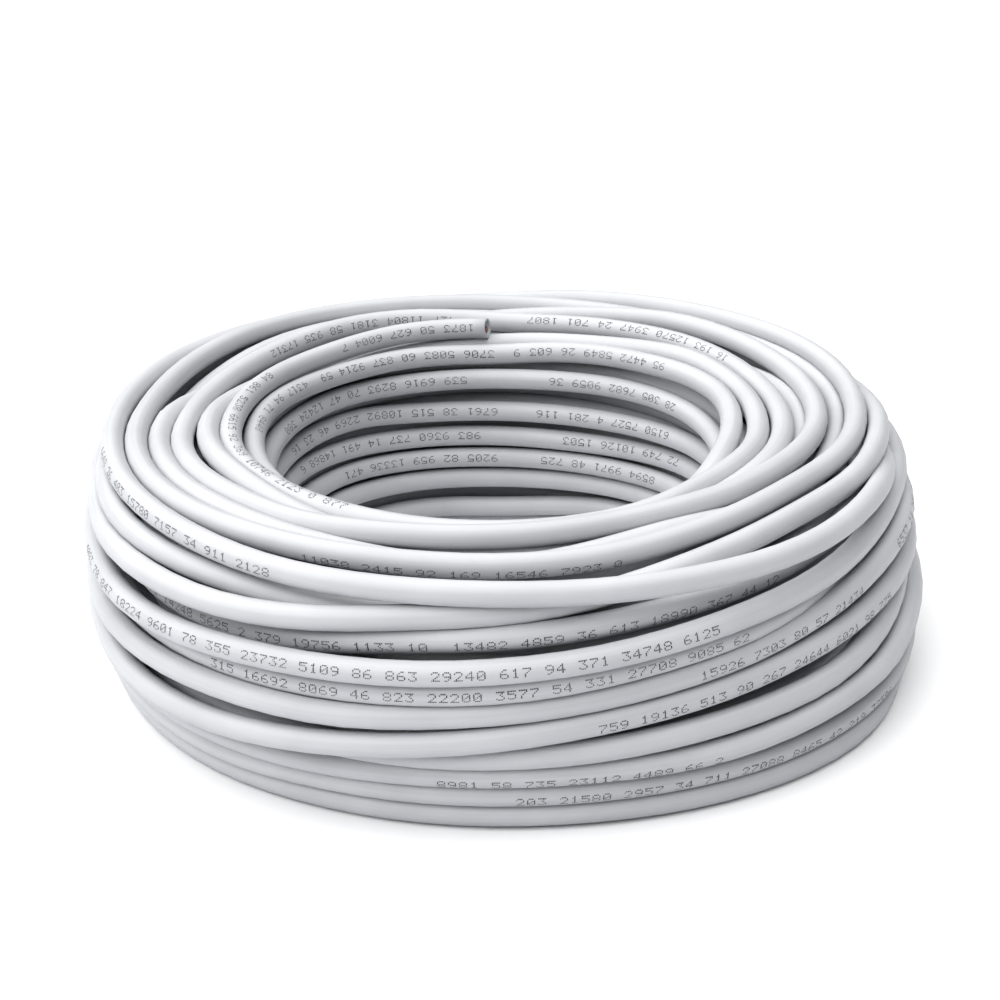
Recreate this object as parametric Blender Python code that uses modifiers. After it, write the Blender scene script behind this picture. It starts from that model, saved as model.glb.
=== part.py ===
"""A 50 m coil of round two-core electrical cable, lying flat.

The wound turns are one turned solid with a bore. On the innermost layer lies the free turn: it
starts at the cable's cut end, goes once round the top and then down into the bore. The cut end
shows two insulated cores with their copper conductors.
"""

import math

import bpy
from mathutils import Vector

# Cable, in metres
CABLE_DIAMETER = 0.0090
CUT_DEPTH = 0.0040
CORE_SET_BACK = 0.0010
GAP = 0.0003

# Wound coil, in metres
BORE_DIAMETER = 0.190
RIM_DIAMETER = 0.309
BULGE = 0.0125
COIL_HEIGHT = 0.0950

# Facets, in degrees
STEPS_ROUND = 32
GROOVE_ANGLE = 35
FACET_ANGLE = (180 - 2 * GROOVE_ANGLE) / 3

# Colours, roughness and metallic
SHEATH_LOOK = ((0.72, 0.73, 0.74), 0.38, 0.0)
BROWN_LOOK = ((0.25, 0.05, 0.03), 0.45, 0.0)
BLUE_LOOK = ((0.03, 0.12, 0.45), 0.45, 0.0)
COPPER_LOOK = ((0.80, 0.42, 0.26), 0.30, 1.0)

# Worked out from the sizes above
CABLE_RADIUS = CABLE_DIAMETER / 2
SHEATH_WALL = 0.145 * CABLE_DIAMETER
RECESS_DIAMETER = CABLE_DIAMETER - 2 * SHEATH_WALL
CORE_DIAMETER = (RECESS_DIAMETER - 3 * GAP) / 2
CONDUCTOR_DIAMETER = CORE_DIAMETER / 2
BORE_TURN = BORE_DIAMETER / 2 + CABLE_RADIUS
RIM_TURN = RIM_DIAMETER / 2 - CABLE_RADIUS
TOP_TURN = COIL_HEIGHT - CABLE_RADIUS
LOW_TURN = CABLE_RADIUS * math.cos(math.radians(FACET_ANGLE / 2))
SEAT_PITCH = CABLE_DIAMETER + GAP
UNDER_TURN = TOP_TURN - SEAT_PITCH

# The free turn's route: the angle round the coil in degrees, counterclockwise from +X, then how
# far it has gone inwards and down from its first place, in seat pitches
FREE_ROUTE = [
    (94, 0.0, 0.0),
    (135, 0.0, 0.0),
    (180, 0.0, 0.0),
    (225, 0.0, 0.0),
    (270, 0.0, 0.0),
    (315, 0.0, 0.0),
    (360, 0.0, 0.0),
    (395, 0.13, 0.0),
    (425, 0.76, 0.22),
    (445, 1.04, 0.56),
    (470, 1.0, 0.91),
    (500, 1.0, 1.08),
    (530, 1.0, 1.24),
    (560, 1.0, 1.4),
]


def clear_scene():
    for old in list(bpy.data.objects):
        bpy.data.objects.remove(old, do_unlink=True)


def new_collection(name):
    made = bpy.data.collections.new(name)
    bpy.context.scene.collection.children.link(made)
    return made


def make_material(name, look):
    color, roughness, metallic = look
    made = bpy.data.materials.new(name)
    made.use_nodes = True
    shader = made.node_tree.nodes["Principled BSDF"]
    shader.inputs["Base Color"].default_value = (*color, 1.0)
    shader.inputs["Roughness"].default_value = roughness
    shader.inputs["Metallic"].default_value = metallic
    made.diffuse_color = (*color, 1.0)
    return made


def even_steps(start, end, pitch):
    """Places from start to end, both included, about one pitch apart."""
    count = max(1, round(abs(end - start) / pitch))
    return [start + (end - start) * i / count for i in range(count + 1)]


def turn_centres():
    """The (radius, height) of every turn that shows, clockwise round the coil's section."""
    across = even_steps(BORE_TURN + SEAT_PITCH, RIM_TURN, CABLE_DIAMETER)
    down = even_steps(TOP_TURN, LOW_TURN, CABLE_DIAMETER)
    up = even_steps(LOW_TURN, UNDER_TURN, CABLE_DIAMETER)
    top = [(r, TOP_TURN) for r in across]
    swell = [BULGE * math.sin(math.pi * i / (len(down) - 1)) for i in range(len(down))]
    outer = [(RIM_TURN + out, z) for out, z in zip(swell, down)]
    bottom = [(r, LOW_TURN) for r in reversed(across[:-1])]
    inner = [(BORE_TURN, z) for z in up]
    step = [(across[0], UNDER_TURN)]
    return top + outer[1:] + bottom + inner + step


def turn_arc(before, centre, after):
    """The outside of one turn, as points of an arc from its groove before to its groove after."""
    start = math.degrees(math.atan2(before[1] - centre[1], before[0] - centre[0])) - GROOVE_ANGLE
    end = math.degrees(math.atan2(after[1] - centre[1], after[0] - centre[0])) + GROOVE_ANGLE
    sweep = (start - end) % 360
    facets = max(1, round(sweep / FACET_ANGLE))
    points = []
    for i in range(facets + 1):
        angle = math.radians(start - sweep * i / facets)
        r = centre[0] + CABLE_RADIUS * math.cos(angle)
        z = centre[1] + CABLE_RADIUS * math.sin(angle)
        points.append((r, 0.0, 0.0 if z < 1e-6 else z))
    return points


def make_wound_turns(collection, material):
    """The turned solid of all wound turns, its section one scallop for each turn."""
    centres = turn_centres()
    outline = []
    for i, centre in enumerate(centres):
        outline += turn_arc(centres[i - 1], centre, centres[(i + 1) % len(centres)])
    edges = [(i, (i + 1) % len(outline)) for i in range(len(outline))]
    mesh = bpy.data.meshes.new("wound_turns")
    mesh.from_pydata(outline, edges, [])
    mesh.materials.append(material)
    made = bpy.data.objects.new("wound_turns", mesh)
    collection.objects.link(made)
    screw = made.modifiers.new("turned", "SCREW")
    screw.axis = "Z"
    screw.steps = STEPS_ROUND
    screw.render_steps = STEPS_ROUND
    screw.use_merge_vertices = True
    screw.merge_threshold = 0.00001
    screw.use_smooth_shade = False
    return made


def smooth_value(before, start, end, after, t):
    """A Catmull-Rom curve's value between start and end, at t from 0 to 1."""
    slope_in = (end - before) / 2
    slope_out = (after - start) / 2
    return (
        start * (2 * t**3 - 3 * t**2 + 1)
        + slope_in * (t**3 - 2 * t**2 + t)
        + end * (3 * t**2 - 2 * t**3)
        + slope_out * (t**3 - t**2)
    )


def route_point(angle):
    """The free turn's centre at this angle, on the smooth curve through its route."""
    last = len(FREE_ROUTE) - 2
    i = max(k for k in range(last + 1) if FREE_ROUTE[k][0] <= angle)
    near = [FREE_ROUTE[min(max(k, 0), last + 1)] for k in (i - 1, i, i + 1, i + 2)]
    t = (angle - near[1][0]) / (near[2][0] - near[1][0])
    radius = BORE_TURN - SEAT_PITCH * smooth_value(*[place[1] for place in near], t)
    height = TOP_TURN - SEAT_PITCH * smooth_value(*[place[2] for place in near], t)
    turned = math.radians(angle)
    return Vector((radius * math.cos(turned), radius * math.sin(turned), height))


def free_turn_points():
    """Centres along the free turn, one at each of the wound coil's own steps."""
    step = 360 / STEPS_ROUND
    first, last = FREE_ROUTE[0][0], FREE_ROUTE[-1][0]
    inner = [step * i for i in range(math.ceil((first + 2) / step), math.floor((last - 2) / step) + 1)]
    return [route_point(angle) for angle in (first, *inner, last)]


def make_free_turn(collection, material, points):
    """The cable's tube along its free turn, as a mesh so that its end can be cut."""
    curve = bpy.data.curves.new("free_turn", "CURVE")
    curve.dimensions = "3D"
    curve.bevel_depth = CABLE_RADIUS
    curve.bevel_resolution = 3
    curve.use_fill_caps = True
    spline = curve.splines.new("POLY")
    spline.points.add(len(points) - 1)
    for place, point in zip(spline.points, points):
        place.co = (*point, 1.0)
    route = bpy.data.objects.new("free_turn_route", curve)
    bpy.context.scene.collection.objects.link(route)
    graph = bpy.context.evaluated_depsgraph_get()
    mesh = bpy.data.meshes.new_from_object(route.evaluated_get(graph))
    bpy.data.objects.remove(route, do_unlink=True)
    mesh.materials.clear()
    mesh.materials.append(material)
    made = bpy.data.objects.new("free_turn", mesh)
    collection.objects.link(made)
    bpy.context.view_layer.objects.active = made
    made.select_set(True)
    bpy.ops.object.mode_set(mode="EDIT")
    bpy.ops.mesh.select_all(action="SELECT")
    bpy.ops.mesh.remove_doubles(threshold=0.000001)
    bpy.ops.object.mode_set(mode="OBJECT")
    made.select_set(False)
    return made


def make_cut_end(collection, points):
    """An empty at the cut face, its Z along the cable and out of the end."""
    made = bpy.data.objects.new("cut_end", None)
    made.empty_display_size = CABLE_DIAMETER
    made.location = points[0]
    made.rotation_mode = "QUATERNION"
    made.rotation_quaternion = (points[0] - points[1]).to_track_quat("Z", "Y")
    collection.objects.link(made)
    return made


def add_rod(name, collection, cut_end, diameter, across, bottom, top, sides, material=None):
    """A round rod along the cable, from bottom to top as seen from the cut face."""
    bpy.ops.mesh.primitive_cylinder_add(vertices=sides, radius=diameter / 2, depth=top - bottom)
    made = bpy.context.object
    made.name = name
    made.data.name = name
    for user in list(made.users_collection):
        user.objects.unlink(made)
    collection.objects.link(made)
    made.parent = cut_end
    made.location = (across, 0, (bottom + top) / 2)
    if material:
        made.data.materials.append(material)
    return made


def cut(target, cutter):
    """Takes the cutter's shape out of the target."""
    cutter.hide_render = True
    cutter.display_type = "WIRE"
    boolean = target.modifiers.new(cutter.name, "BOOLEAN")
    boolean.operation = "DIFFERENCE"
    boolean.solver = "EXACT"
    boolean.object = cutter


def make_core(collection, cutters, cut_end, colour_name, side, look, copper):
    """One insulated core in the cut end, and the copper conductor in it."""
    across = side * (CORE_DIAMETER + GAP) / 2
    top = -CORE_SET_BACK
    bottom = GAP - CUT_DEPTH
    insulation = make_material("insulation_" + colour_name, look)
    core = add_rod(
        "core_" + colour_name, collection, cut_end, CORE_DIAMETER, across, bottom, top, 16, insulation
    )
    bore = add_rod(
        "core_bore_" + colour_name,
        cutters,
        cut_end,
        CONDUCTOR_DIAMETER + 2 * GAP,
        across,
        bottom + 2 * GAP,
        top + GAP,
        12,
    )
    cut(core, bore)
    add_rod(
        "conductor_" + colour_name,
        collection,
        cut_end,
        CONDUCTOR_DIAMETER,
        across,
        bottom + 3 * GAP,
        top,
        12,
        copper,
    )


def main():
    clear_scene()
    coil = new_collection("cable_coil")
    cutters = new_collection("cutters")
    cutters.hide_render = True
    sheath = make_material("sheath_pvc", SHEATH_LOOK)
    copper = make_material("copper", COPPER_LOOK)
    make_wound_turns(coil, sheath)
    points = free_turn_points()
    free_turn = make_free_turn(coil, sheath, points)
    cut_end = make_cut_end(coil, points)
    recess = add_rod("recess", cutters, cut_end, RECESS_DIAMETER, 0, -CUT_DEPTH, CUT_DEPTH, 16)
    cut(free_turn, recess)
    make_core(coil, cutters, cut_end, "brown", 1, BROWN_LOOK, copper)
    make_core(coil, cutters, cut_end, "blue", -1, BLUE_LOOK, copper)


main()
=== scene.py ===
"""Looks of a coil of round light-grey electrical cable that lies flat.

The sheath is one mesh tube along the whole cable. Its route is worked out turn by turn: turns in
sight have a short list of points, the turns inside the winding fill layers, and all of them are
then settled against each other, in every section round the coil, until they lie a diameter apart.
"""

import math

import bpy
import numpy as np
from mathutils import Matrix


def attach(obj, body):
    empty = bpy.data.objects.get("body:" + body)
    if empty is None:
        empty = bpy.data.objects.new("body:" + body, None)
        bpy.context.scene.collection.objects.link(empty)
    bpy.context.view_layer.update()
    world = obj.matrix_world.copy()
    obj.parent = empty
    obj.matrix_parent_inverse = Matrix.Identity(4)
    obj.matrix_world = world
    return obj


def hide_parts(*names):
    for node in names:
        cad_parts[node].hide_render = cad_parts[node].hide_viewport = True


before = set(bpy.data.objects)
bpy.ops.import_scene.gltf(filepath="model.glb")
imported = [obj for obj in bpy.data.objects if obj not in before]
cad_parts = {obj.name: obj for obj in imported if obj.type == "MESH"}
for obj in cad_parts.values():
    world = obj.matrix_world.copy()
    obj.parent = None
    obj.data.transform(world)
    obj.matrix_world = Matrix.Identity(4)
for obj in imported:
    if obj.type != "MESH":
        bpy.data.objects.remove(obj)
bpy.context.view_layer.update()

MM = 0.001

# Camera, in metres and degrees
EYE = (-0.0004, -0.7256, 0.3928)
EYE_DOWN = 24.9
LENS = 70.8
SENSOR = 36.0

# Cable, in millimetres. Its cut is slanted by CUT_SLANT degrees, inwards and a little upwards.
CABLE_DIAMETER = 9.0
SHEATH_WALL = 1.3
CUT_DEPTH = 4.0
CUT_SLANT = 20.0
CUT_INWARD = 0.9
CUT_UPWARD = 0.4
CUT_EDGE = 0.15
SIDES = 16

# Cores in the cut end, in millimetres: how deep each starts and ends in the recess, and how far its
# conductor stands proud of it
CORE_DIAMETER = 2.745
CORE_GAP = 0.2
CORE_EDGE = 0.12
CORE_STEP = 0.6
BROWN_DEPTH = 0.5
BLUE_DEPTH = 1.2
CONDUCTOR_PROUD = 0.05
CORE_END = CUT_DEPTH + 0.4
CONDUCTOR_END = CUT_DEPTH + 0.2

# Winding: stations in one turn, the angle where the turns are counted from, how a layer's radius
# sways in mm and radians, and the widest step in degrees between points of a turn in sight
STATIONS = 80
STATION_STEP = 360.0 / STATIONS
TURN_START = 90.0
CUT_END_ANGLE = 93.3
LAYER_SWAY = 1.5
LAYER_PHASE = 1.7
WIDEST_STEP = 32

# Settling: rounds, how near turns may lie in diameters at first and how much that grows, limits in
# mm, and how strongly each rule acts in one round. PUSH parts turns that are too near, and STAY
# keeps a turn in sight out of that. HOLD takes it back to its listed place, but SLIDE lets it off
# along its line of sight. LEAN and SINK act on hidden turns, and STIFFNESS evens out the bends.
ROUNDS = 320
FIRST_REACH = 0.9
REACH_GROWTH = 0.09
CEILING = 93.2
LEAST_RADIUS = 86.0
MOST_RADIUS = 166.0
MOST_MOVE = 1.5
PUSH = 0.6
STAY = 0.75
HOLD = 0.35
SLIDE = 0.32
LEAN = 0.01
SINK = 0.01
STIFFNESS = 0.3

# Print, in millimetres, and its numbers: the first, its growth with each run and each number, and
# what each number is cut to
DIGIT_PITCH = 3.7
DOT_ALONG = 0.58
DOT_UP = 0.48
DOT_SIZE = 0.44
INK_LIFT = 0.03
FIRST_NUMBER = 1873
RUN_GROWTH = 611
NUMBER_GROWTH = 1377
NUMBER_LIMITS = (10000, 100, 1000, 100000)

# Colours, and the studio: the light's direction from the coil, its width in radians and its power
SHEATH_COLOUR = (0.585, 0.59, 0.605)
SHEATH_SHADE = (0.545, 0.55, 0.565)
FLOOR_COLOUR = (0.95, 0.95, 0.95)
FLOOR_BOUNCE = (0.78, 0.78, 0.80)
BROWN = (0.22, 0.035, 0.03)
BROWN_SHADE = (0.16, 0.025, 0.025)
BLUE = (0.04, 0.16, 0.45)
BLUE_SHADE = (0.03, 0.12, 0.36)
SURROUND_LIGHT = 0.15
LIGHT_FROM = (-0.55, -0.05, 1.4)
LIGHT_WIDTH = 1.9
LIGHT_POWER = 3.45
GAMMA = 1.06
FLOOR_REACH = 6.0

# Turns in sight: angle round the coil in degrees, radius and height of the cable's centre in mm.
# A turn starts and ends at the back, at 90 and 450 degrees, and runs to the left first.
TURNS = {
    "rim": [
        (93, 103, 93), (104, 103.5, 93.2), (114, 105, 93), (125, 104, 92.5), (138, 103, 92.3),
        (158, 105.5, 92), (182, 107, 91), (197, 108, 91), (210, 106, 91), (225, 105, 91),
        (245, 103, 90.5), (258, 101.5, 90), (270, 100.5, 90), (286, 100, 90), (300, 99.5, 90),
        (312, 98, 90.5), (319, 97.5, 91), (327, 98, 91), (336, 99.5, 91), (350, 102, 91),
        (357, 102, 91), (367, 103, 91), (378, 104, 91), (389, 105.5, 91), (401, 107, 91),
        (411, 104.5, 90), (424, 103, 88), (445, 103, 86),
    ],
    "bore_1": [
        (90, 94, 83.5), (106, 95, 84), (116, 96, 84.5), (127, 96, 84.5), (139, 97, 84.5),
        (156, 99, 85), (163, 100, 85), (170, 100, 84.5), (179, 99.5, 83), (200, 97, 81),
        (240, 95, 80), (300, 92, 79), (372, 89, 77), (393, 91, 76), (422, 91, 74.5),
        (433, 90, 74),
    ],
    "bore_2": [
        (90, 89, 74), (107, 91, 74), (119, 94, 73.5), (130, 98, 73), (160, 99, 71),
        (220, 96, 68), (300, 92, 65), (360, 92, 63), (384, 92, 62), (407, 90, 60), (421, 89, 59),
    ],
    "bore_3": [
        (90, 88, 59), (107, 91, 59), (118, 95, 59), (128, 99, 60), (141, 100, 60), (158, 98, 60),
        (200, 96, 57), (300, 93, 53), (394, 94, 49), (408, 91, 48), (432, 87, 47),
    ],
    "bore_4": [
        (90, 88, 47), (119, 95, 47), (136, 98, 48), (152, 98, 49), (200, 96, 46), (300, 93, 41),
        (396, 92, 38), (407, 89, 38), (432, 87, 37),
    ],
    "bore_5": [
        (90, 87, 37), (119, 93, 37), (138, 96, 38), (200, 95, 35), (300, 92, 31), (408, 91, 28),
        (432, 88, 27),
    ],
    "bore_6": [
        (90, 87, 27), (120, 92, 27), (140, 93, 28), (200, 93, 25), (300, 91, 20), (421, 91, 16),
        (432, 89, 14),
    ],
    "bore_7": [(90, 86.5, 12.5), (108, 91, 12.5), (119, 93, 12.5), (200, 93, 10), (300, 92, 5)],
    "bore_8": [(90, 92, 4.5), (200, 93, 4.5), (300, 95, 4.5)],
    "top_4": [
        (90, 131, 87), (105, 131, 84), (145, 127, 81.5), (156, 127, 82.5), (163, 130, 84.5),
        (168, 132, 87), (174, 133.5, 89), (183, 135, 90), (199, 134, 90), (207, 133, 90),
        (214, 131, 90), (223, 128.5, 90), (232, 127.5, 90), (243, 124.5, 88.5), (253, 121, 86),
        (270, 119, 85), (280, 117, 86), (288, 115, 87.5), (296, 113.5, 88.5), (305, 113.5, 88.5),
        (312, 115, 87), (325, 120, 84), (345, 127, 83), (361, 134, 84), (368, 140, 84),
        (376, 145, 84), (382, 149, 84), (410, 150, 86),
    ],
    "top_3": [
        (90, 116, 90.5), (100, 122, 91), (111, 128, 91), (129, 129, 91), (140, 125, 91),
        (154, 123, 91), (177, 124, 91), (194, 127, 91), (205, 125, 91), (222, 120, 91),
        (233, 119, 91), (241, 116.5, 92), (248, 114, 92.3), (259, 111, 92.5), (270, 108.5, 92.5),
        (277, 107.5, 92.5), (286, 106, 92.5), (299, 105, 92.5), (309, 106, 92), (320, 109, 91.5),
        (330, 112.5, 91), (336, 115, 91), (344, 119, 91), (352, 123, 91), (358, 126, 91),
        (370, 129, 91), (379, 132, 91), (387, 134, 91), (403, 139, 91), (419, 141, 90.5),
        (427, 139, 89),
    ],
    "top_2": [
        (90, 119, 81), (110, 115, 82), (150, 113, 84.5), (165, 114, 88), (172, 115, 90),
        (180, 116, 91), (197, 115, 91), (211, 111.5, 91), (225, 111, 90), (240, 111, 87),
        (255, 110, 85), (270, 108, 84.5), (290, 106, 85), (308, 105, 87), (316, 105, 89.5),
        (326, 107, 90.5), (334, 108, 91), (343, 110, 91), (352, 111.5, 91), (360, 112, 91),
        (369, 113, 91), (382, 114, 91), (390, 116, 91), (400, 118, 91), (408, 119, 91),
        (418, 118, 91), (428, 117, 91), (437, 115, 91),
    ],
    "under_rim": [
        (90, 103.5, 85.3), (110, 104, 83.5), (150, 104, 82), (200, 103, 81.5), (270, 98, 81),
        (310, 92, 83), (329, 90, 86), (338, 90, 89), (351, 91, 90.5), (361, 92, 91),
        (370, 93.5, 91), (380, 95, 90.5), (389, 95, 90), (396, 94.5, 90), (403, 94, 89),
        (423, 95, 87), (436, 95, 85.5),
    ],
    "top_5": [
        (90, 149, 88), (108, 148, 90), (123, 150, 90.5), (141, 150, 91), (149, 148, 91),
        (160, 145, 91), (170, 143, 91), (186, 144, 91), (202, 143, 91), (217, 140, 91),
        (230, 136, 91), (245, 132, 91), (255, 130, 91), (270, 129, 91), (282, 127.5, 91),
        (296, 124.5, 91), (305, 122.5, 91), (314, 122.5, 91), (326, 124, 91), (338, 130, 91),
        (348, 136, 91), (358, 141, 91), (367, 145, 91), (376, 150, 91), (385, 154, 91),
        (393, 157, 91), (406, 157, 91),
    ],
    "top_6": [
        (90, 157, 86), (120, 158, 86), (158, 157, 90), (166, 155.5, 90), (181, 153.8, 90),
        (203, 151.8, 89.8), (220, 150, 90), (243, 150, 90), (257, 148, 90), (270, 147.5, 90),
        (283, 149, 90), (296, 151, 90), (312, 154, 90), (321, 154, 90), (330, 153, 90),
        (337, 152.5, 89.5), (344, 151.5, 88), (352, 151, 83), (360, 151, 79), (372, 152, 77),
    ],
    "shoulder": [
        (90, 158, 80), (150, 157, 82), (191, 155.5, 83.5), (197, 156.5, 82.5), (203, 157.5, 82),
        (210, 157.5, 82), (217, 156, 81.5), (226, 152, 80), (233, 150, 80), (238, 149, 79),
        (260, 142, 78), (300, 136, 76),
    ],
    "wall_low": [(90, 147, 14), (270, 147, 18)],
    "wall_i": [
        (90, 150, 22), (190, 152, 25), (230, 152, 27), (257, 152, 28), (262, 153, 29),
        (270, 153, 30), (277, 154, 31), (288, 155, 32.5), (305, 157, 34), (320, 161, 36),
        (332, 161, 39.5), (343, 160, 42),
    ],
    "wall_f": [
        (90, 156, 50), (190, 156, 50), (229, 160, 53), (236, 160, 54), (245, 160, 55),
        (253, 159, 56), (263, 157.5, 57), (270, 156.5, 58), (277, 156, 60), (288, 153, 62),
        (320, 150, 64),
    ],
    "wall_d": [
        (90, 152, 66), (200, 150, 62), (217, 152, 62), (228, 153, 63.5), (238, 153, 66),
        (246, 153, 68.5), (251, 152.5, 71), (257, 152, 73.5), (270, 150, 75), (278, 149, 76),
        (289, 144.5, 76), (305, 142, 76), (312, 141, 76), (350, 141, 77),
    ],
    "wall_l": [
        (90, 148, 4.5), (231, 153, 4.5), (241, 151, 4.5), (256, 149.5, 4.5), (270, 149, 4.5),
        (283, 150, 4.5), (297, 154, 4.5), (314, 160, 4.5), (322, 163, 4.5), (330, 164, 4.5),
        (335, 163, 5),
    ],
    "wall_k": [
        (90, 157, 13), (180, 158, 13), (227, 157.5, 14), (234, 157, 14), (242, 153, 13.5),
        (256, 151, 13.5), (270, 150, 13.5), (283, 151, 13.5), (297, 154, 13.5), (306, 156, 12.5),
        (313, 158, 12.5), (321, 161, 13), (328, 163, 13.5),
    ],
    "wall_j": [
        (90, 160, 22), (190, 160, 24), (218, 161.5, 24), (229, 161.5, 24), (243, 156, 22),
        (257, 152, 21.5), (270, 151, 21.5), (283, 152, 22), (296, 157, 23), (311, 161, 25),
        (319, 164, 27), (325, 166, 28.5), (332, 168, 30), (338, 169, 32), (342, 168, 34.5),
    ],
    "wall_h": [
        (90, 162, 36), (180, 162, 33), (207, 164.5, 32), (212, 166.5, 32), (218, 168, 32),
        (232, 169, 34), (245, 166, 36), (258, 161.5, 38), (270, 157, 40), (283, 153, 42),
        (297, 153, 44.5), (306, 154, 46.5), (314, 155, 48), (322, 157, 49), (331, 158, 50),
        (337, 160, 51), (345, 162, 52.5), (351, 162, 54),
    ],
    "wall_g": [
        (90, 162, 50), (180, 161.5, 45), (193, 162, 43.5), (199, 163, 43), (205, 164, 43),
        (222, 165, 45), (237, 165, 47), (251, 164, 48), (262, 157.5, 48.5), (270, 155, 49),
        (283, 152, 51), (297, 152, 54.5), (306, 153, 57), (314, 153, 59.5), (323, 155, 61.5),
        (331, 156, 63), (339, 158, 64.5), (347, 160, 66), (356, 160.5, 67), (364, 158, 69),
        (375, 155, 71), (400, 153, 70),
    ],
    "wall_e": [
        (90, 162, 63), (180, 161, 62), (200, 162.5, 62), (209, 166, 62), (222, 167, 62),
        (237, 165, 64), (246, 164, 65), (263, 160, 66), (270, 157, 66), (282, 154, 67),
        (297, 152, 70), (307, 152, 71.5), (313, 152.5, 72.5), (323, 152.5, 73),
        (331, 152.5, 74.5), (345, 153, 75),
    ],
    "wall_c": [
        (90, 158, 76), (170, 158, 78), (194, 159, 78), (206, 162.5, 76), (220, 163, 76),
        (237, 162, 78), (245, 158, 79), (257, 150, 81), (270, 146, 82), (278, 143, 83),
        (296, 132, 84), (308, 131, 85.5), (325, 134, 87.5), (339, 142, 88), (347, 146, 88),
        (355, 149, 87.5), (363, 153.5, 86.5), (380, 157, 84.5), (420, 158, 83), (440, 158, 82),
    ],
    "second_1": [(90, 110, 79), (270, 108, 80)],
    "second_2": [
        (90, 118, 80), (270, 117, 81), (330, 116, 83), (342, 116, 85), (351, 118, 85.5),
        (359, 119.5, 86), (366, 121.5, 86), (374, 124, 86), (382, 127, 85), (400, 126, 82),
        (425, 121, 81),
    ],
    "second_3": [
        (90, 141, 83), (110, 139.5, 86), (130, 138, 87.5), (140, 137.5, 87), (150, 137.5, 84),
        (165, 138, 79.5), (180, 135, 78), (270, 125, 78), (400, 121, 77),
    ],
}

# Layers inside the winding: radius, height of the first and last turn, turns
LAYERS = {
    "layer_1": (102, 9, 74, 8),
    "layer_2": (111, 70, 5, 6),
    "layer_3": (120, 8, 71, 6),
    "layer_4": (131, 69, 5, 6),
    "layer_5": (141, 74, 5, 9),
}

# The whole cable, from its cut end to its outer end
WINDING = (
    "rim under_rim bore_1 bore_2 bore_3 bore_4 bore_5 bore_6 bore_7 bore_8 layer_1 second_1 "
    "second_2 top_2 top_3 top_4 top_5 top_6 shoulder second_3 layer_2 layer_3 layer_4 wall_low "
    "wall_i wall_f wall_d layer_5 wall_l wall_k wall_j wall_h wall_g wall_e wall_c"
).split()


def smooth_value(at, places, values):
    """Smooth curve through values given at uneven places.

    Between two places it is a cubic, 3u^2 - 2u^3 from one value to the next plus the two slopes,
    where a slope is the mean of the two neighbouring steps, weighted by the other step's length.
    """
    places, values = np.asarray(places, float), np.asarray(values, float)
    step = np.diff(places)
    rise = np.diff(values) / step
    slope = np.empty_like(values)
    slope[1:-1] = (rise[:-1] * step[1:] + rise[1:] * step[:-1]) / (step[:-1] + step[1:])
    slope[0], slope[-1] = rise[0], rise[-1]
    i = np.clip(np.searchsorted(places, at, side="right") - 1, 0, len(places) - 2)
    u = (at - places[i]) / step[i]
    ease = u * u * (3 - 2 * u)
    bend = step[i] * u * (1 - u) * ((1 - u) * slope[i] - u * slope[i + 1])
    return (1 - ease) * values[i] + ease * values[i + 1] + bend


def layer_turns(radius, first, last, turns):
    """Points of a layer's turns: the height climbs evenly, the radius sways by LAYER_SWAY."""
    rows = []
    for turn in range(turns):
        points = []
        for angle in (90, 180, 270, 360):
            climbed = (turn + (angle - TURN_START) / 360) / turns
            sway = LAYER_SWAY * math.sin(LAYER_PHASE * turn + math.radians(angle) * (1 + turn % 2))
            points.append((angle, radius + sway, first + (last - first) * climbed))
        rows.append(points)
    return rows


def winding_points():
    """All listed points in the cable's order: angle from the start, radius, height, in sight."""
    rows, turn, names = [], 0, []
    for name in WINDING:
        if name in LAYERS:
            turns, seen = layer_turns(*LAYERS[name]), 0.0
        else:
            turns, seen = [TURNS[name]], 1.0
        for points in turns:
            rows += [(360.0 * turn + angle, radius, height, seen)
                     for angle, radius, height in points]
            names.append(name)
            turn += 1
    return np.array(rows), names


def sight_lines(angle, radius, height):
    """Direction of the camera's line of sight in each section, as outward and up parts."""
    turn = np.radians(angle)
    across = radius * np.cos(turn) - EYE[0] / MM
    along = radius * np.sin(turn) - EYE[1] / MM
    outward = across * np.cos(turn) + along * np.sin(turn)
    up = height - EYE[2] / MM
    size = np.hypot(outward, up)
    return outward / size, up / size


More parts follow.
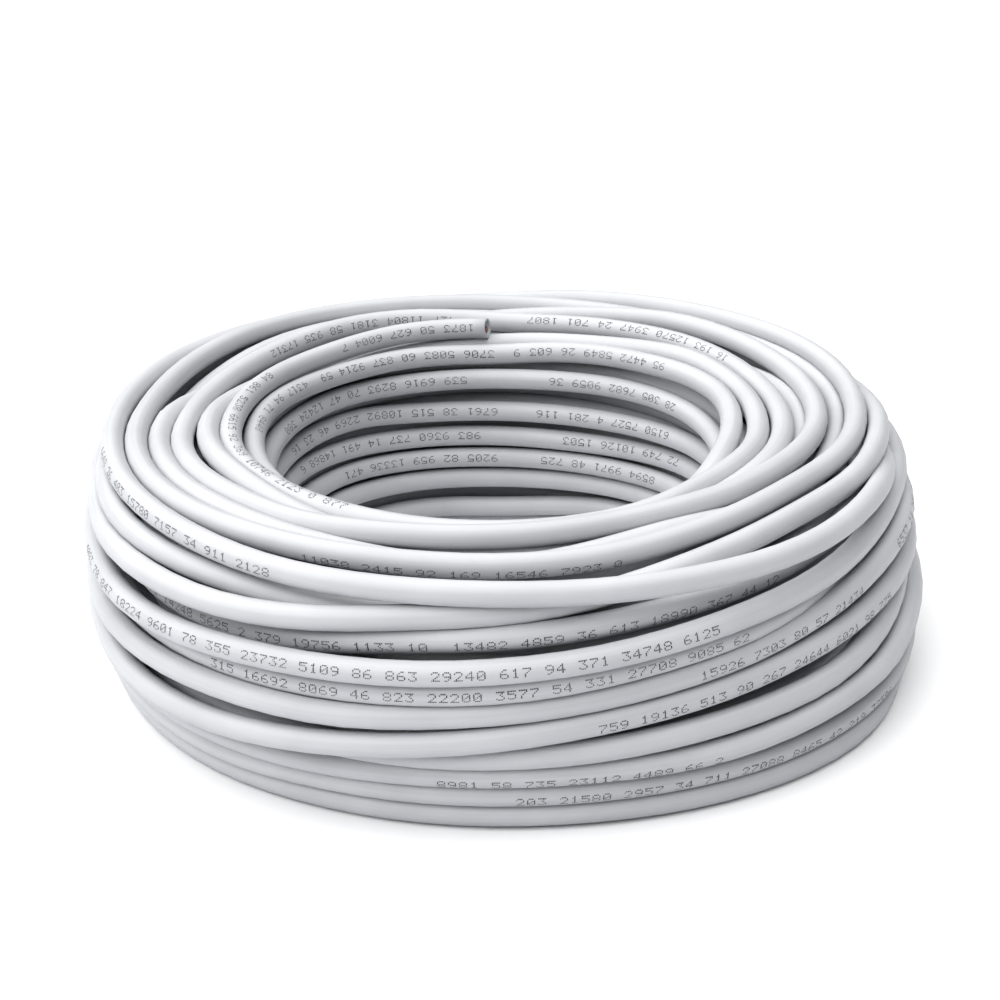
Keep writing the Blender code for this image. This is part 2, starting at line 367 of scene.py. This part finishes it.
def settle(angle, radius, height, seen):
    """Settle the turns against each other.

    In each round, in each section round the coil, two turns that are nearer than a diameter move
    apart along the line between them, a turn in sight keeps to its line of sight, a turn inside
    leans to its place in its layer and sinks a little, the cable's stiffness evens out its bends,
    and nothing sinks into the floor or rises over the coil's top.
    """
    outward, up = sight_lines(angle, radius, height)
    count = len(angle)
    rows = -(-count // STATIONS)
    spare = rows * STATIONS - count
    free = np.concatenate([1.0 - STAY * seen, np.zeros(spare)]).reshape(rows, STATIONS)
    one, two = np.triu_indices(rows, 1)
    share = np.maximum(free[one] + free[two], 1e-6)
    share_one, share_two = free[one] / share, free[two] / share
    r, z = radius.copy(), height.copy()
    for step in range(ROUNDS):
        grown = min(1.0, 3.0 * step / ROUNDS)
        reach = CABLE_DIAMETER * (FIRST_REACH + REACH_GROWTH * grown)
        rs = np.concatenate([r, np.full(spare, 1e4)]).reshape(rows, STATIONS)
        zs = np.concatenate([z, np.full(spare, 1e4)]).reshape(rows, STATIONS)
        dr, dz = rs[two] - rs[one], zs[two] - zs[one]
        apart = np.maximum(np.hypot(dr, dz), 1e-6)
        push = np.where(apart < reach, PUSH * (reach - apart) / apart, 0.0)
        move_r, move_z = np.zeros_like(rs), np.zeros_like(zs)
        for row in range(rows):
            first, second = one == row, two == row
            move_r[row] = (share_two[second] * push[second] * dr[second]).sum(0)
            move_r[row] -= (share_one[first] * push[first] * dr[first]).sum(0)
            move_z[row] = (share_two[second] * push[second] * dz[second]).sum(0)
            move_z[row] -= (share_one[first] * push[first] * dz[first]).sum(0)
        r += np.clip(move_r.reshape(-1)[:count], -MOST_MOVE, MOST_MOVE)
        z += np.clip(move_z.reshape(-1)[:count], -MOST_MOVE, MOST_MOVE)
        off_r, off_z = radius - r, height - z
        along = off_r * outward + off_z * up
        r += seen * (HOLD * off_r - SLIDE * along * outward) + (1 - seen) * LEAN * off_r
        z += seen * (HOLD * off_z - SLIDE * along * up) + (1 - seen) * (LEAN * off_z - SINK)
        for line in (r, z):
            line[1:-1] += STIFFNESS * (line[:-2] + line[2:] - 2 * line[1:-1])
        z = np.clip(z, CABLE_DIAMETER / 2, CEILING)
        r = np.clip(r, LEAST_RADIUS, MOST_RADIUS)
    return r, z


def cable_route():
    """Centre of the cable at every station, in metres, with its angle from the start."""
    points, names = winding_points()
    last = 360.0 * len(names) + TURN_START
    angle = np.arange(CUT_END_ANGLE, last - 0.5 * STATION_STEP, STATION_STEP)
    radius = smooth_value(angle, points[:, 0], points[:, 1])
    height = smooth_value(angle, points[:, 0], points[:, 2])
    i = np.clip(np.searchsorted(points[:, 0], angle, side="right") - 1, 0, len(points) - 2)
    near = np.diff(points[:, 0])[i] <= WIDEST_STEP
    seen = np.where(near, np.minimum(points[i, 3], points[i + 1, 3]), 0.0)
    seen = np.convolve(seen, np.ones(5) / 5, "same")
    r, z = settle(angle, radius, height, seen)
    turn = np.radians(angle)
    return angle, np.stack([r * np.cos(turn), r * np.sin(turn), z], 1) * MM, names


def route_frames(route):
    """Tangent, outward and upward unit vectors at each point of the route.

    The tangent is the direction between the two neighbours. The outward vector is the radial
    direction less its part along the tangent, and the upward one is square to both.
    """
    ahead = np.gradient(route, axis=0)
    ahead /= np.linalg.norm(ahead, axis=1)[:, None]
    out = route * (1.0, 1.0, 0.0)
    out /= np.linalg.norm(out, axis=1)[:, None]
    out -= (out * ahead).sum(1)[:, None] * ahead
    out /= np.linalg.norm(out, axis=1)[:, None]
    return ahead, out, np.cross(out, ahead)


def mesh_piece(name, vertices, faces, material, smooth=True):
    """Mesh object from an array of vertices and a list of faces."""
    mesh = bpy.data.meshes.new(name)
    mesh.from_pydata(vertices, [], faces)
    mesh.update()
    mesh.polygons.foreach_set("use_smooth", np.full(len(mesh.polygons), smooth))
    mesh.materials.append(material)
    piece = bpy.data.objects.new(name, mesh)
    bpy.context.scene.collection.objects.link(piece)
    return piece


def ring_points(centres, out, up, sizes):
    """Rings carried along a path, an array of (rings, SIDES, 3).

    The point at side angle a is centre + size * (cos a * out + sin a * up).
    """
    side = np.arange(SIDES) * 2 * math.pi / SIDES
    spread = np.cos(side)[None, :, None] * out[:, None] + np.sin(side)[None, :, None] * up[:, None]
    return centres[:, None] + sizes[:, None, None] * spread


def ring_faces(rings, sides):
    """Quads between neighbouring rings, facing outwards from the rings' centre line."""
    first = np.arange(rings - 1)[:, None] * sides
    here, after = np.arange(sides)[None], (np.arange(sides)[None] + 1) % sides
    quads = np.stack([first + here, first + after, first + sides + after, first + sides + here], -1)
    return quads.reshape(-1, 4)


def cut_slant(sizes, back):
    """Shift of ring points along the cable, so that the cut is slanted by CUT_SLANT degrees.

    It is -tan(slant) * size * (inward * cos a - upward * sin a) along the cable, so the cut looks
    inwards and up.
    """
    side = np.arange(SIDES) * 2 * math.pi / SIDES
    lean = CUT_INWARD * np.cos(side) - CUT_UPWARD * np.sin(side)
    lean *= math.tan(math.radians(CUT_SLANT))
    return -sizes[:, None, None] * lean[None, :, None] * back


def add_uv(piece, along, sides):
    """UV map of a tube: u in metres along it, v once round it. Faces that aren't quads get zero."""
    layer = piece.data.uv_layers.new(name="UVMap")
    uv = np.zeros((len(piece.data.loops), 2), np.float32)
    rings = len(along)
    ring, side = np.divmod(np.arange((rings - 1) * sides), sides)
    u = np.stack([along[ring], along[ring], along[ring + 1], along[ring + 1]], 1)
    v = np.stack([side, side + 1, side + 1, side], 1) / sides
    uv[: u.size, 0], uv[: u.size, 1] = u.reshape(-1), v.reshape(-1)
    layer.data.foreach_set("uv", uv.reshape(-1))


def make_tube(name, centres, outs, ups, sizes, slanted, material):
    """Tube through rings, closed at both ends. The first `slanted` rings follow the cut's slant."""
    sizes = np.array(sizes, float)
    rings = ring_points(centres, outs, ups, sizes)
    back = centres[slanted + 1] - centres[slanted]
    back = back / np.linalg.norm(back)
    rings[:slanted] += cut_slant(sizes[:slanted], back)
    last = len(centres) * SIDES
    ends = [list(range(SIDES))[::-1], list(range(last - SIDES, last))]
    faces = ring_faces(len(centres), SIDES).tolist() + ends
    piece = mesh_piece(name, rings.reshape(-1, 3), faces, material)
    along = np.concatenate([[0], np.cumsum(np.linalg.norm(np.diff(centres, axis=0), axis=1))])
    add_uv(piece, along, SIDES)
    return piece


def make_sheath(route, ahead, out, up, material):
    """Sheath: a recess at the slanted cut end, the whole route as one tube, and a plain far end."""
    radius = CABLE_DIAMETER / 2 * MM
    bore = radius - SHEATH_WALL * MM
    edge = CUT_EDGE * MM
    deep = [(CUT_DEPTH * MM, 1e-6), (CUT_DEPTH * MM, bore), (2 * edge, bore),
            (0.0, bore + edge), (0.0, radius - edge), (edge, radius)]
    tail = [(0.0, radius), (edge, radius - edge), (edge, 1e-6)]
    centres = [route[0] + ahead[0] * depth for depth, _ in deep] + list(route[1:-1])
    centres += [route[-1] + ahead[-1] * reach for reach, _ in tail]
    outs = [out[0]] * len(deep) + list(out[1:-1]) + [out[-1]] * len(tail)
    ups = [up[0]] * len(deep) + list(up[1:-1]) + [up[-1]] * len(tail)
    sizes = [size for _, size in deep] + [radius] * (len(route) - 2) + [size for _, size in tail]
    return make_tube(
        "cable_sheath", np.array(centres), np.array(outs), np.array(ups), sizes, len(deep), material
    )


def make_rod(name, start, ahead, out, up, across, first, last, size, material):
    """Round rod in the cut end, from depth first to depth last in mm, with a rounded front edge."""
    edge = CORE_EDGE * MM
    size *= MM
    places = [(first * MM, 1e-6), (first * MM, size - edge), (first * MM + edge, size)]
    places += [(depth * MM, size) for depth in (first + CORE_STEP, last)] + [(last * MM, 1e-6)]
    line = start + across * MM * out
    centres = np.array([line + ahead * depth for depth, _ in places])
    outs, ups = np.tile(out, (len(places), 1)), np.tile(up, (len(places), 1))
    return make_tube(name, centres, outs, ups, [r for _, r in places], 3, material)


def make_cut_end(start, ahead, out, up, looks):
    """Two insulated cores side by side in the recess, each with its copper conductor."""
    pieces = []
    for colour, side, depth in (("brown", -1, BROWN_DEPTH), ("blue", 1, BLUE_DEPTH)):
        across = side * (CORE_DIAMETER + CORE_GAP) / 2
        core = make_rod(
            colour + "_core", start, ahead, out, up, across, depth, CORE_END,
            CORE_DIAMETER / 2, looks[colour],
        )
        wire = make_rod(
            colour + "_conductor", start, ahead, out, up, across, depth - CONDUCTOR_PROUD,
            CONDUCTOR_END, CORE_DIAMETER / 4, looks["copper"],
        )
        for piece, node, part in (
            (core, "core_" + colour, "insulation_" + colour),
            (wire, "conductor_" + colour, "copper"),
        ):
            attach(piece, "root")
            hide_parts(node)
            pieces.append(piece)
    return pieces


# Dot-matrix digits, seven rows of five dots from the top down
DIGITS = (
    "01110 10001 10011 10101 11001 10001 01110", "00100 01100 00100 00100 00100 00100 01110",
    "01110 10001 00001 00010 00100 01000 11111", "11111 00010 00100 00010 00001 10001 01110",
    "00010 00110 01010 10010 11111 00010 00010", "11111 10000 11110 00001 00001 10001 01110",
    "00110 01000 10000 11110 10001 10001 01110", "11111 00001 00010 00100 01000 01000 01000",
    "01110 10001 10001 01110 10001 10001 01110", "01110 10001 10001 01111 00001 00010 01100",
)

# Print in sight: turn, first and last angle, and its place round the cable at both, in degrees
# from the outward side towards the top
PRINT = (
    ("rim", 97, 134, 158, 150), ("rim", 158, 240, 120, 72),
    ("under_rim", 400, 448, 150, 158), ("bore_1", 92, 146, 158, 140),
    ("bore_1", 150, 186, 140, 118),
    ("bore_1", 392, 440, 160, 165), ("bore_2", 100, 165, 165, 145), ("bore_2", 395, 440, 155, 165),
    ("bore_3", 91, 160, 165, 148), ("bore_3", 392, 436, 150, 160), ("bore_4", 96, 158, 160, 146),
    ("bore_4", 400, 440, 160, 165), ("bore_5", 91, 140, 165, 160),
    ("top_2", 392, 446, 130, 140), ("top_3", 100, 148, 170, 150),
    ("top_5", 240, 292, -22, -22), ("top_6", 192, 240, 25, 2),
    ("wall_c", 60, 150, 10, 10),
    ("wall_d", 214, 262, 14, -8), ("wall_d", 264, 312, -8, -4), ("wall_e", 200, 300, 20, 14),
    ("wall_e", 20, 120, 20, 0), ("wall_f", 232, 306, 8, 4), ("wall_g", 296, 328, 6, 0),
    ("wall_g", 338, 364, 24, 20), ("wall_g", 60, 130, 0, 0), ("wall_h", 282, 336, -2, 4),
    ("wall_h", 100, 170, 20, 10), ("wall_j", 262, 300, -20, -20), ("wall_j", 30, 100, 10, 20),
    ("wall_k", 272, 334, -12, -8), ("wall_k", 110, 180, 0, 10),
)


def digit_dots(text):
    """Places of a text's dots: along the cable and up, in mm from its start and its middle line."""
    dots = []
    for place, letter in enumerate(text):
        if letter != " ":
            for row, line in enumerate(DIGITS[int(letter)].split()):
                dots += [
                    (DIGIT_PITCH * place + DOT_ALONG * column, DOT_UP * (3 - row))
                    for column, mark in enumerate(line) if mark == "1"
                ]
    return np.array(dots)


def make_print(route, out, up, names, material):
    """Running numbers printed on the sheath, each dot a small square just over its face.

    A dot at length s and place a round the cable is at route(s) + h(a) * (cos a * out + sin a * up)
    where h(a) = R * cos(w / 2) / cos(a mod w - w / 2) + INK_LIFT is just over a SIDES-sided tube's
    face, with w = 360 / SIDES degrees.
    """
    along = np.concatenate([[0], np.cumsum(np.linalg.norm(np.diff(route, axis=0), axis=1))])
    corners = np.array([(-1, -1), (1, -1), (1, 1), (-1, 1)]) * DOT_SIZE / 2 * MM
    radius, wedge = CABLE_DIAMETER / 2 * MM, 2 * math.pi / SIDES
    points = []
    for run, (name, first, last, place, end_place) in enumerate(PRINT):
        turn = 360 * names.index(name)
        start, end = np.interp([turn + first, turn + last], angle, along)
        letters = int((end - start) / (DIGIT_PITCH * MM))
        values = [FIRST_NUMBER + RUN_GROWTH * run + NUMBER_GROWTH * k for k in range(letters)]
        limits = [NUMBER_LIMITS[(run + k) % len(NUMBER_LIMITS)] for k in range(letters)]
        text = " ".join(str(value % limit) for value, limit in zip(values, limits))[:letters]
        dots = digit_dots(text) * MM
        s = start + dots[:, None, 0] + corners[None, :, 0]
        share = (s - start) / (end - start)
        a = np.radians(place + (end_place - place) * share)
        a += (dots[:, None, 1] + corners[None, :, 1]) / radius
        reach = radius * math.cos(wedge / 2) / np.cos(a % wedge - wedge / 2) + INK_LIFT * MM
        at = [np.stack([np.interp(s, along, line[:, axis]) for axis in range(3)], -1)
              for line in (route, out, up)]
        ray = np.cos(a)[..., None] * at[1] + np.sin(a)[..., None] * at[2]
        points.append((at[0] + reach[..., None] * ray).reshape(-1, 3))
    points = np.concatenate(points)
    faces = np.arange(len(points)).reshape(-1, 4).tolist()
    return mesh_piece("print_marks", points, faces, material, smooth=False)


def node_group(name, inputs, outputs):
    """Empty node group with float inputs (name, value) and outputs (name, socket type)."""
    group = bpy.data.node_groups.new(name, "ShaderNodeTree")
    for label, value in inputs:
        socket = group.interface.new_socket(label, in_out="INPUT", socket_type="NodeSocketFloat")
        socket.default_value = value
    for label, kind in outputs:
        group.interface.new_socket(label, in_out="OUTPUT", socket_type=kind)
    return group, group.nodes.new("NodeGroupInput"), group.nodes.new("NodeGroupOutput")


def add_node(tree, kind, settings=None, **inputs):
    """Shader node with its settings, and inputs that are values or sockets."""
    node = tree.nodes.new("ShaderNode" + kind)
    for key, value in (settings or {}).items():
        setattr(node, key, value)
    for key, value in inputs.items():
        socket = node.inputs[int(key[1:])] if key[0] == "_" else node.inputs[key.replace("_", " ")]
        if isinstance(value, bpy.types.NodeSocket):
            tree.links.new(value, socket)
        else:
            socket.default_value = value
    return node


def grain_group():
    """Fine grain of moulded plastic: a bump normal and a mask that drifts between 0 and 1."""
    group, source, sink = node_group(
        "plastic_grain", [("Scale", 900.0), ("Depth", 0.00002)],
        [("Normal", "NodeSocketVector"), ("Drift", "NodeSocketFloat")],
    )
    place = add_node(group, "TexCoord").outputs["Object"]
    fine = add_node(group, "TexNoise", Vector=place, Scale=source.outputs["Scale"], Detail=3.0)
    wide = add_node(group, "TexNoise", Vector=place, Scale=34.0, Detail=2.0)
    bump = add_node(
        group, "Bump", Height=fine.outputs["Fac"], Distance=source.outputs["Depth"], Strength=1.0
    )
    drift = add_node(group, "MapRange", Value=wide.outputs["Fac"], From_Min=0.3, From_Max=0.7)
    group.links.new(bump.outputs["Normal"], sink.inputs["Normal"])
    group.links.new(drift.outputs["Result"], sink.inputs["Drift"])
    return group


def new_material(name, roughness, metallic=0.0):
    """Material with a Principled shader whose uniform values are set on it."""
    material = bpy.data.materials.new(name)
    material.use_nodes = True
    shader = material.node_tree.nodes["Principled BSDF"]
    shader.inputs["Roughness"].default_value = roughness
    shader.inputs["Metallic"].default_value = metallic
    return material, material.node_tree, shader


def add_group(tree, group, **inputs):
    """Node that uses a group, with the values of its inputs."""
    node = tree.nodes.new("ShaderNodeGroup")
    node.node_tree = group
    for key, value in inputs.items():
        node.inputs[key].default_value = value
    return node


def mix_colours(tree, share, one, two, blend="MIX"):
    """Colour mixed from two by a share."""
    node = tree.nodes.new("ShaderNodeMix")
    node.data_type, node.blend_type = "RGBA", blend
    for socket, value in ((node.inputs[0], share), (node.inputs[6], one), (node.inputs[7], two)):
        if isinstance(value, bpy.types.NodeSocket):
            tree.links.new(value, socket)
        else:
            socket.default_value = value
    return node.outputs[2]


def sheath_look(grain):
    """Light-grey PVC: streaks along the cable, a faint drift of tone, soft gloss, fine grain."""
    material, tree, shader = new_material("sheath_pvc_look", 0.42)
    marks = add_group(tree, grain, Scale=1400.0, Depth=0.000018)
    uv = add_node(tree, "TexCoord").outputs["UV"]
    stretched = add_node(tree, "Mapping", Vector=uv, Scale=(2.2, 9.0, 1.0)).outputs["Vector"]
    streak = add_node(tree, "TexNoise", Vector=stretched, Scale=3.0, Detail=4.0).outputs["Fac"]
    streak = add_node(
        tree, "MapRange", Value=streak, From_Min=0.35, From_Max=0.65
    ).outputs["Result"]
    base = mix_colours(tree, marks.outputs["Drift"], (*SHEATH_COLOUR, 1), (*SHEATH_SHADE, 1))
    soft = mix_colours(tree, streak, (0.955, 0.955, 0.96, 1), (1, 1, 1, 1))
    colour = mix_colours(tree, 1.0, base, soft, "MULTIPLY")
    gloss = add_node(tree, "MapRange", Value=streak, To_Min=0.40, To_Max=0.50).outputs["Result"]
    tree.links.new(colour, shader.inputs["Base Color"])
    tree.links.new(gloss, shader.inputs["Roughness"])
    tree.links.new(marks.outputs["Normal"], shader.inputs["Normal"])
    return material


def ink_look():
    """Dark ink that is thinner in places."""
    material, tree, shader = new_material("print_ink_look", 0.6)
    place = add_node(tree, "TexCoord").outputs["Object"]
    worn = add_node(tree, "TexNoise", Vector=place, Scale=160.0, Detail=2.0).outputs["Fac"]
    worn = add_node(tree, "MapRange", Value=worn, From_Min=0.35, From_Max=0.75).outputs["Result"]
    colour = mix_colours(tree, worn, (0.055, 0.058, 0.065, 1), (0.20, 0.205, 0.215, 1))
    tree.links.new(colour, shader.inputs["Base Color"])
    return material


def insulation_look(name, colour, shade, grain):
    """Coloured core insulation with a faint drift of tone and a fine grain."""
    material, tree, shader = new_material(name, 0.42)
    marks = add_group(tree, grain, Scale=2600.0, Depth=0.000012)
    tone = mix_colours(tree, marks.outputs["Drift"], (*colour, 1), (*shade, 1))
    tree.links.new(tone, shader.inputs["Base Color"])
    tree.links.new(marks.outputs["Normal"], shader.inputs["Normal"])
    return material


def copper_look():
    """Bare copper, duller where its cut face is scored."""
    material, tree, shader = new_material("copper_look", 0.3, metallic=1.0)
    place = add_node(tree, "TexCoord").outputs["Object"]
    score = add_node(
        tree, "TexWave", Vector=place, Scale=1500.0, Distortion=3.0, Detail=2.0
    ).outputs["Fac"]
    colour = mix_colours(tree, score, (0.80, 0.42, 0.25, 1), (0.62, 0.30, 0.17, 1))
    dull = add_node(tree, "MapRange", Value=score, To_Min=0.25, To_Max=0.45).outputs["Result"]
    tree.links.new(colour, shader.inputs["Base Color"])
    tree.links.new(dull, shader.inputs["Roughness"])
    return material


def floor_look():
    """Plain near-white paper, which throws less light back than it shows."""
    material, tree, shader = new_material("floor_look", 0.8)
    path = add_node(tree, "LightPath").outputs["Is Camera Ray"]
    colour = mix_colours(tree, path, (*FLOOR_BOUNCE, 1), (*FLOOR_COLOUR, 1))
    tree.links.new(colour, shader.inputs["Base Color"])
    shader.inputs["Specular IOR Level"].default_value = 0.1
    return material


def make_floor():
    """Plain pale floor, a wide flat sheet under the coil."""
    reach = FLOOR_REACH
    corners = [(-reach, -reach, 0), (reach, -reach, 0), (reach, reach, 0), (-reach, reach, 0)]
    mesh_piece("floor", corners, [[0, 1, 2, 3]], floor_look(), smooth=False)


def soft_light(name, place, width, power):
    """Even studio light from far away. It shines from its place to the origin."""
    lamp = bpy.data.lights.new(name, "SUN")
    lamp.angle = width
    lamp.energy = power
    light = bpy.data.objects.new(name, lamp)
    light.location = place
    light.rotation_euler = (
        math.atan2(math.hypot(place[0], place[1]), place[2]), 0.0,
        math.atan2(-place[1], -place[0]) - math.pi / 2,
    )
    bpy.context.scene.collection.objects.link(light)


def set_studio():
    """Soft studio light: a faint even surround, seen as white, and a wide light from above."""
    world = bpy.data.worlds.new("studio")
    world.use_nodes = True
    tree = world.node_tree
    surround = tree.nodes["Background"]
    surround.inputs["Color"].default_value = (0.97, 0.985, 1.0, 1)
    surround.inputs["Strength"].default_value = SURROUND_LIGHT
    seen = add_node(tree, "Background", Color=(1, 1, 1, 1), Strength=1.0)
    path = add_node(tree, "LightPath")
    either = add_node(
        tree, "MixShader", Fac=path.outputs["Is Camera Ray"],
        _1=surround.outputs["Background"], _2=seen.outputs["Background"],
    )
    tree.links.new(either.outputs["Shader"], tree.nodes["World Output"].inputs["Surface"])
    bpy.context.scene.world = world
    view = bpy.context.scene.view_settings
    view.view_transform = "Standard"
    view.look = "High Contrast"
    view.gamma = GAMMA
    soft_light("even", LIGHT_FROM, LIGHT_WIDTH, LIGHT_POWER)


def set_camera():
    """Camera in front of the coil and above it, level from side to side."""
    lens = bpy.data.cameras.new("camera")
    lens.lens, lens.sensor_width = LENS, SENSOR
    lens.clip_start, lens.clip_end = 0.02, 50.0
    camera = bpy.data.objects.new("camera", lens)
    camera.location = EYE
    camera.rotation_euler = (math.radians(90 - EYE_DOWN), 0, 0)
    bpy.context.scene.collection.objects.link(camera)
    bpy.context.scene.camera = camera


angle, route, names = cable_route()
ahead, out, up = route_frames(route)
grain = grain_group()
looks = {
    "brown": insulation_look("brown_insulation_look", BROWN, BROWN_SHADE, grain),
    "blue": insulation_look("blue_insulation_look", BLUE, BLUE_SHADE, grain),
    "copper": copper_look(),
}
sheath = make_sheath(route, ahead, out, up, sheath_look(grain))
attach(sheath, "root")
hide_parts("wound_turns", "free_turn")
cores = make_cut_end(route[0], ahead[0], out[0], up[0], looks)
marks = make_print(route, out, up, names, ink_look())
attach(marks, "root")

make_floor()
set_camera()
set_studio()
